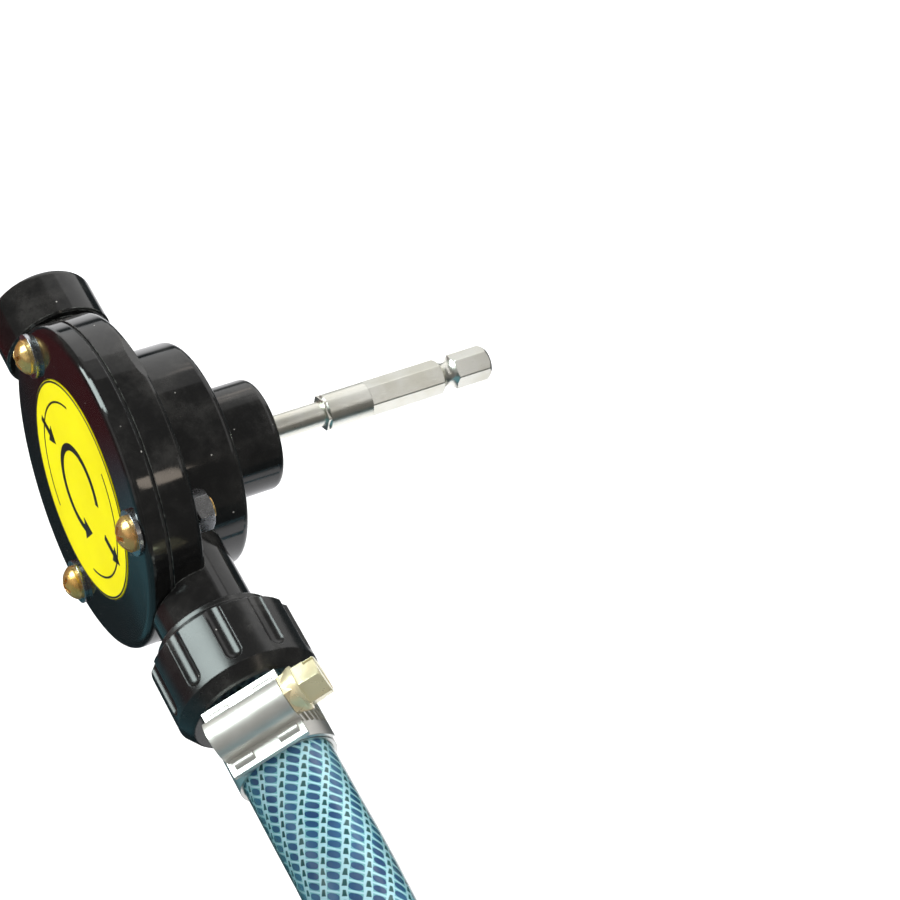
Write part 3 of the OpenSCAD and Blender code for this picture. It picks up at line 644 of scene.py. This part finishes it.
clamp_steel = metal_material(
    "clamp_steel", bright=(0.86, 0.85, 0.81), dull=(0.78, 0.77, 0.73), gloss=(0.3, 0.42),
    stretch=(1.0, 1.0, 14.0), scale=400.0, depth=0.0000006)
arch_steel = metal_material(
    "arch_steel", bright=(0.90, 0.89, 0.84), dull=(0.80, 0.79, 0.74), gloss=(0.34, 0.46),
    stretch=(1.0, 1.0, 14.0), scale=400.0, depth=0.0000006, metallic=0.8)
bright_steel = metal_material(
    "bright_steel", bright=(0.70, 0.71, 0.74), dull=(0.50, 0.51, 0.54), gloss=(0.18, 0.34),
    stretch=(1.0, 1.0, 1.0), scale=900.0, depth=0.000001)
shaft_steel = metal_material(
    "shaft_steel", bright=(0.92, 0.91, 0.84), dull=(0.82, 0.80, 0.70), gloss=(0.26, 0.38),
    stretch=(1.0, 8.0, 8.0), scale=700.0, depth=0.0000008)
bronze = metal_material(
    "bronze", bright=(0.62, 0.42, 0.20), dull=(0.42, 0.27, 0.12), gloss=(0.3, 0.5),
    stretch=(1.0, 1.0, 1.0), scale=2200.0, depth=0.000008)
print("metals", [m.name for m in (clamp_steel, arch_steel, bright_steel, shaft_steel, bronze)])

# %% [markdown]
# The cover screws and the clamp's screw are steel with a yellow zinc coat, whose thin film drifts
# between gold, green and rose. The coat on the cover screws is browner. Like the clamp's housing, both
# are less than fully metallic, so that they take some soft light.

# %% Finish of the screws
def zinc_material(name, films, metallic):
    """A zinc coat: films are its gold, its green and its rose."""
    material, tree, shader = start_material(name, Metallic=metallic)
    lines = use(tree, brushed_lines, Along_X=1.0, Along_Y=1.0, Along_Z=1.0, Scale=700.0)
    skin = use(tree, moulded_skin, Grain=2600.0, Waves=190.0)
    edge = use(tree, worn_edges, Radius=0.0002, Amount=0.5)
    film = mixed(tree, between(tree, skin["Waves"], 0.35, 0.6), rgb(*films[0]), rgb(*films[1]))
    film = mixed(tree, between(tree, skin["Clouds"], 0.5, 0.72), film, rgb(*films[2]))
    feed(tree, shader["Base Color"], mixed(tree, edge["Mask"], film, rgb(0.92, 0.86, 0.70)))
    feed(tree, shader["Roughness"], between(tree, lines["Stains"], 0.3, 0.7, 0.2, 0.34))
    bump = add(tree, "Bump", {"Height": skin["Grain"], "Normal": edge["Normal"], "Distance": 0.000003})
    feed(tree, shader["Normal"], bump.outputs[0])
    return material


PALE_FILMS = ((0.86, 0.72, 0.44), (0.80, 0.76, 0.50), (0.84, 0.62, 0.42))
BROWN_FILMS = ((0.74, 0.42, 0.12), (0.68, 0.47, 0.18), (0.76, 0.36, 0.13))
zinc_brass = zinc_material("zinc_brass", PALE_FILMS, metallic=0.6)
cover_zinc = zinc_material("cover_zinc", BROWN_FILMS, metallic=0.78)
print("zinc coats", zinc_brass.name, cover_zinc.name)

# %% [markdown]
# The hose's wall is clear PVC over a knitted net. Columns of stitches climb round it at 30 degrees:
# wide columns show blue dashes with bulging sides, narrow ones show small dark green wedges, and pale
# yarn runs between them. The pattern is worked out from the hose's own map, so it stays on the hose at
# any bend. Seen at a slant the wall turns darker and greener: partly the look of the thicker clear wall,
# partly painted shade on the hose's sides.

# %% Finish of the hose
NET_COLUMNS = 12
NET_ROWS = 16
HOSE_ROUND = math.tau * HOSE_R
CLIMB = math.radians(30)
SHAKE = 0.22
WIDE_MIDDLE = 0.34
SLIM_MIDDLE = 0.82
DASH_TILT = 0.35
WEDGE_TAPER = 0.09
DASH_HALF_W = 0.30
DASH_HALF_H = 0.34
BULGE_POWER = 2.6


def net_group():
    """Masks of the knitted net: the blue dashes, the dark wedges and the pale yarn."""
    tree, given, out = start_group("knitted net", {"Columns": NET_COLUMNS, "Rows": NET_ROWS},
                                   {"Dash": "Float", "Wedge": "Float", "Yarn": "Float", "Height": "Float"})
    spot = add(tree, "SeparateXYZ", {0: add(tree, "UVMap").outputs["UV"]}).outputs
    lean = -math.tan(CLIMB) / HOSE_ROUND
    column = calc(tree, "MULTIPLY", calc(tree, "ADD", spot["X"], calc(tree, "MULTIPLY", spot["Y"], lean)),
                  given["Columns"])
    steep = 1 / math.tan(CLIMB) / HOSE_ROUND
    row = calc(tree, "MULTIPLY", calc(tree, "ADD", calc(tree, "MULTIPLY", spot["Y"], steep), spot["X"]),
               given["Rows"])
    place = add(tree, "TexCoord").outputs["Object"]
    shake = add(tree, "TexNoise", {"Vector": place, "Scale": 260.0, "Detail": 2.0}).outputs["Fac"]
    shake = calc(tree, "MULTIPLY", calc(tree, "SUBTRACT", shake, 0.5), SHAKE)
    across = calc(tree, "FRACT", calc(tree, "ADD", column, shake))
    tilt = calc(tree, "MULTIPLY", across, DASH_TILT)
    wide = calc(tree, "ABSOLUTE", calc(tree, "SUBTRACT", across, WIDE_MIDDLE))
    slim = calc(tree, "ABSOLUTE", calc(tree, "SUBTRACT", across, SLIM_MIDDLE))
    rung = calc(tree, "FRACT", calc(tree, "ADD", row, tilt))
    down = calc(tree, "ABSOLUTE", calc(tree, "SUBTRACT", rung, 0.5))
    step = calc(tree, "FRACT", calc(tree, "ADD", calc(tree, "ADD", row, 0.5), shake))
    low = calc(tree, "ABSOLUTE", calc(tree, "SUBTRACT", step, 0.5))
    sides = [calc(tree, "POWER", calc(tree, "DIVIDE", part, half), BULGE_POWER)
             for part, half in ((wide, DASH_HALF_W), (down, DASH_HALF_H))]
    bulge = calc(tree, "ADD", calc(tree, "ADD", *sides), calc(tree, "MULTIPLY", shake, 3.0))
    dash = between(tree, bulge, 1.15, 0.8)
    left = calc(tree, "SUBTRACT", 1.0, step)
    taper = calc(tree, "ADD", slim, calc(tree, "MULTIPLY", left, WEDGE_TAPER))
    wedge = calc(tree, "MULTIPLY", between(tree, taper, 0.165, 0.11), between(tree, low, 0.36, 0.27))
    rib = calc(tree, "MAXIMUM", between(tree, wide, 0.29, 0.33), between(tree, down, 0.36, 0.44))
    feed(tree, out.inputs["Dash"], dash)
    feed(tree, out.inputs["Wedge"], wedge)
    feed(tree, out.inputs["Yarn"], rib)
    feed(tree, out.inputs["Height"], calc(tree, "SUBTRACT", rib, calc(tree, "ADD", dash, wedge)))
    return tree


knitted_net = net_group()
SLANT = (0.25, 0.9)
SLANT_SHADE = 0.82


def hose_material():
    material, tree, shader = start_material("hose_pvc", Roughness=0.26, Coat_Weight=0.9, Coat_Roughness=0.05,
                                            IOR=1.52)
    net = use(tree, knitted_net)
    skin = use(tree, moulded_skin, Grain=1400.0, Waves=110.0)
    film = use(tree, dust, Amount=0.1, Specks=0.3)
    patches = between(tree, skin["Waves"], 0.35, 0.65)
    blue = mixed(tree, patches, rgb(0.010, 0.055, 0.16), rgb(0.030, 0.12, 0.25))
    wall = mixed(tree, net["Yarn"], rgb(0.14, 0.44, 0.48), rgb(0.41, 0.72, 0.80))
    wall = mixed(tree, net["Dash"], wall, blue)
    wall = mixed(tree, net["Wedge"], wall, rgb(0.010, 0.085, 0.09))
    # Painted shade: darker and greener where the hose is seen at a slant, along with the look of a thicker
    # clear wall.
    slant_shade = between(tree, add(tree, "LayerWeight", {"Blend": 0.5}).outputs["Facing"], *SLANT)
    wall = mixed(tree, slant_shade, wall, mixed(tree, SLANT_SHADE, wall, rgb(0.01, 0.09, 0.09)))
    feed(tree, shader["Base Color"], mixed(tree, film["Mask"], wall, rgb(0.5, 0.55, 0.52)))
    bump = add(tree, "Bump", {"Height": net["Height"], "Distance": 0.00004})
    waves = add(tree, "Bump", {"Height": skin["Waves"], "Normal": bump.outputs[0], "Distance": 0.00006})
    feed(tree, shader["Normal"], waves.outputs[0])
    return material


hose_pvc = hose_material()
print("hose finish", hose_pvc.name, "with the group", knitted_net.name)

# %% [markdown]
# The strap is woven nylon: two sets of waves cross each other, and the higher thread shows.

# %% Finish of the strap
THREADS = 420.0


def nylon_material():
    material, tree, shader = start_material("tie_nylon", Roughness=0.7, Sheen_Weight=0.3, Sheen_Roughness=0.4)
    place = add(tree, "TexCoord").outputs["Object"]
    warp = add(tree, "TexWave", {"Vector": place, "Scale": THREADS, "Distortion": 0.6}, bands_direction="X")
    weft = add(tree, "TexWave", {"Vector": place, "Scale": THREADS, "Distortion": 0.6}, bands_direction="Y")
    cloth = calc(tree, "MAXIMUM", warp.outputs["Fac"], weft.outputs["Fac"])
    feed(tree, shader["Base Color"], mixed(tree, cloth, rgb(0.012, 0.012, 0.013), rgb(0.05, 0.05, 0.052)))
    feed(tree, shader["Normal"], add(tree, "Bump", {"Height": cloth, "Distance": 0.0001}).outputs[0])
    return material


tie_nylon = nylon_material()
print("strap finish", tie_nylon.name)

# %% [markdown]
# Each CAD piece and each piece of this script now gets its finish. The CAD names say which is which.

# %% Finishes put on the pieces
FINISHES = {
    housing_plastic: ["pump_body"],
    cover_plastic: ["front_cover"],
    yellow_label: ["label_plate"],
    black_print: ["label_ring", "label_turn_arrow", "label_flow_arrows"],
    black_rubber: ["cover_gasket", "impeller", "shaft_seal", "outlet_washer"],
    zinc_brass: ["clamp_screw"],
    cover_zinc: ["cover_screws"],
    bright_steel: ["screw_washers", "cover_nuts", "wear_plate", "thrust_washer", "retaining_clip",
                   "seal_case", "seal_spring"],
    clamp_steel: ["clamp_band"],
    arch_steel: ["clamp_housing"],
    shaft_steel: ["drive_shaft"],
    bronze: ["impeller_hub", "shaft_bush"],
    union_plastic: ["outlet_nut"],
    tail_plastic: ["outlet_tail"],
    hose_pvc: ["hose", "hose_cuff", "hose_lead", "hose_coil"],
    tie_nylon: ["coil_strap", "coil_tie"],
}
for finish, names in FINISHES.items():
    for name in names:
        piece = bpy.data.objects[name]
        piece.data.materials.clear()
        piece.data.materials.append(finish)
bare = [n for n in frame["nodes"] if not any(n in names for names in FINISHES.values())]
print("finishes", len(FINISHES), "pieces without one", bare)

# %% [markdown]
# The floor is a plain pale sheet under the coil, and the light is that of a small white studio. Glossy
# black shows nothing but reflections, so what stands round the pump matters as much as the lamps. The
# floor gives the pump painted reflections: through a Light Path node it glows, for reflections alone, as a
# white sheet on the shank's side, dark red and teal cloth in front and a dark room elsewhere, while the
# camera and the soft light still get an even pale studio.

# %% Floor with painted reflections
FLOOR_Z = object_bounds()[0][2]
FLOOR_HALF = 2.5
# Where the floor's painted reflections lie: the white sheet, the cloth in front, and teal turning to red
# along y.
PAINTED_SHEET_X = (-0.075, -0.03)
PAINTED_SHEET_Y = (-0.40, -0.27)
PAINTED_SHEET_END_X = (0.17, 0.06)
PAINTED_CLOTH_X = (-0.13, -0.15)
PAINTED_TEAL_TO_RED_Y = (0.07, 0.12)


def pale_floor_painted_reflections():
    """The floor: pale to the camera, and in reflections a painted glow, bright only where the white sheet
    lies.
    """
    mesh = bmesh.new()
    bmesh.ops.create_grid(mesh, x_segments=1, y_segments=1, size=FLOOR_HALF)
    bmesh.ops.translate(mesh, verts=mesh.verts, vec=(0, 0, FLOOR_Z))
    floor = finished_mesh("floor", mesh)
    material, tree, shader = start_material("pale_floor_painted_reflections", Roughness=0.6)
    place = add(tree, "TexCoord").outputs["Object"]
    clouds = add(tree, "TexNoise", {"Vector": place, "Scale": 3.0, "Detail": 3.0}).outputs["Fac"]
    feed(tree, shader["Base Color"], mixed(tree, clouds, rgb(0.90, 0.90, 0.90), rgb(0.93, 0.93, 0.93)))
    # Painted reflections: glossy rays see the floor glow white on the sheet, teal and dark red on the cloth
    # in front, near black elsewhere.
    spot = add(tree, "SeparateXYZ", {0: place}).outputs
    painted_sheet = calc(tree, "MULTIPLY", between(tree, spot["X"], *PAINTED_SHEET_X), between(tree, spot["Y"], *PAINTED_SHEET_Y))
    painted_sheet = calc(tree, "MULTIPLY", painted_sheet, between(tree, spot["X"], *PAINTED_SHEET_END_X))
    painted_redness = between(tree, spot["Y"], *PAINTED_TEAL_TO_RED_Y)
    painted_cloth = mixed(tree, painted_redness, rgb(0.10, 0.27, 0.32), rgb(0.11, 0.015, 0.02))
    painted_surround = mixed(tree, between(tree, spot["X"], *PAINTED_CLOTH_X), rgb(0.02, 0.035, 0.04), painted_cloth)
    # Painted reflection: an emission that only glossy rays see.
    painted_reflection = add(tree, "Emission", {"Color": mixed(tree, painted_sheet, painted_surround, rgb(1.2, 1.2, 1.22))})
    both = add(tree, "MixShader", {0: add(tree, "LightPath").outputs["Is Glossy Ray"],
                                   1: tree.nodes["Principled BSDF"].outputs[0], 2: painted_reflection.outputs[0]})
    feed(tree, tree.nodes["Material Output"].inputs["Surface"], both.outputs[0])
    floor.data.materials.append(material)
    return floor


floor = pale_floor_painted_reflections()
print("floor at", round(FLOOR_Z, 4))

# %% [markdown]
# The lamps are soft rectangles. One large lamp would light everything at once, but it would wash the
# black plastic out. So some lamps only light, some are only mirrored, and two leave pieces out of their
# reach. Their places follow the reflections in the photograph. Small near lamps make the streaks on the
# drum and the bright patch on the rim. A far lamp would also show in every other face turned that way.

# %% Soft studio light
PUMP_MIDDLE = Vector((-0.07, -0.02, 0))
LAMP_AWAY = 1.2
RIM_FLAT = (-0.085, -0.0192, 0.0256)
DRUM_TOP = (-0.0695, 0.011, 0.0215)
NEAR = 0.25


def towards(azimuth, elevation):
    """The direction with that azimuth from +X and that elevation, in degrees."""
    a, e = math.radians(azimuth), math.radians(elevation)
    return Vector((math.cos(e) * math.cos(a), math.cos(e) * math.sin(a), math.sin(e)))


def soft_lamp(name, azimuth, elevation, width, height, glow, colour=(1, 1, 1), lights=True, mirrors=True,
              at=PUMP_MIDDLE, away=LAMP_AWAY):
    """A rectangular lamp that looks at a place. Its glow is its brightness as a reflection shows it."""
    lamp = bpy.data.objects.new(name, bpy.data.lights.new(name, "AREA"))
    lamp.data.shape = "RECTANGLE"
    lamp.data.size = width
    lamp.data.size_y = height
    lamp.data.energy = glow * math.pi * width * height
    lamp.data.color = colour
    way = towards(azimuth, elevation)
    lamp.location = Vector(at) + away * way
    lamp.rotation_euler = (-way).to_track_quat("-Z", "Y").to_euler()
    lamp.visible_camera = False
    lamp.visible_diffuse = lights
    lamp.visible_glossy = mirrors
    bpy.context.scene.collection.objects.link(lamp)
    return lamp


def leave_out(lamp, *names):
    """Takes some pieces out of a lamp's reach."""
    reach = bpy.data.collections.new(lamp.name + "_reach")
    lamp.light_linking.receiver_collection = reach
    for number, name in enumerate(names):
        reach.objects.link(bpy.data.objects[name])
        reach.collection_objects[number].light_linking.link_state = "EXCLUDE"


key = soft_lamp("key_lamp", 137, 42, width=0.9, height=0.9, glow=5.0, mirrors=False)
soft_lamp("overhead_lamp", 40, 75, width=1.2, height=1.2, glow=2.0, mirrors=False)
window = soft_lamp("window", 143, 33, width=0.56, height=0.95, glow=12.0, colour=(0.86, 1.0, 0.98),
                   lights=False)
leave_out(window, "pump_body", "hose")
leave_out(key, "hose")
soft_lamp("hose_key", 8, 48, width=0.8, height=0.8, glow=3.2, mirrors=False)
soft_lamp("backdrop", 58, 13, width=1.6, height=0.92, glow=0.95, lights=False)
soft_lamp("backdrop_haze", 58, 42, width=1.2, height=0.36, glow=0.4, lights=False)
soft_lamp("side_strip", 295, 45, width=0.018, height=0.036, glow=4.3, colour=(1.0, 0.86, 0.72),
          lights=False, at=RIM_FLAT, away=NEAR)
soft_lamp("far_wall", 178, 18, width=1.1, height=0.5, glow=0.5, lights=False)
SLATS = ((16, 0.023), (25, 0.016), (31.5, 0.011))
for number, (elevation, height) in enumerate(SLATS):
    soft_lamp("slat_%d" % number, 66, elevation, width=0.014, height=height, glow=1.5,
              colour=(1.0, 0.84, 0.7), lights=False, at=DRUM_TOP, away=NEAR)

# %% [markdown]
# A level white card above the shank gives it something bright to mirror. Here the card is a lamp that
# only reflections see, because a real card would need light of its own to look bright.

# %% Card over the shank
CARD_PLACE = (0.04, 0.01, 0.13)
card = soft_lamp("shank_card", 0, 60, width=0.06, height=0.26, glow=0.8, lights=False)
card.location = CARD_PLACE
card.rotation_euler = (0, 0, 0)
print("card at", CARD_PLACE)

# %% [markdown]
# The surround lights the scene evenly, like the white walls of a small studio. Reflections see a dark
# room in its place, through the same kind of Light Path switch as the floor's.

# %% Surround
STUDIO_GLOW = 0.55
ROOM_COLOUR = rgb(0.13, 0.127, 0.12)


def studio_world():
    """An even white surround, which reflections see as a dark room."""
    world = bpy.data.worlds.new("studio")
    world.use_nodes = True
    world.cycles.sampling_method = "NONE"
    tree = world.node_tree
    even = tree.nodes["Background"]
    even.inputs["Color"].default_value = rgb(1, 1, 1)
    even.inputs["Strength"].default_value = STUDIO_GLOW
    room = add(tree, "Background", {"Color": ROOM_COLOUR, "Strength": 1.0})
    both = add(tree, "MixShader", {0: add(tree, "LightPath").outputs["Is Glossy Ray"], 1: even.outputs[0],
                                   2: room.outputs[0]})
    feed(tree, tree.nodes["World Output"].inputs["Surface"], both.outputs[0])
    return world


bpy.context.scene.world = studio_world()
print("surround", bpy.context.scene.world.name)
bpy.context.scene.view_settings.view_transform = "Standard"
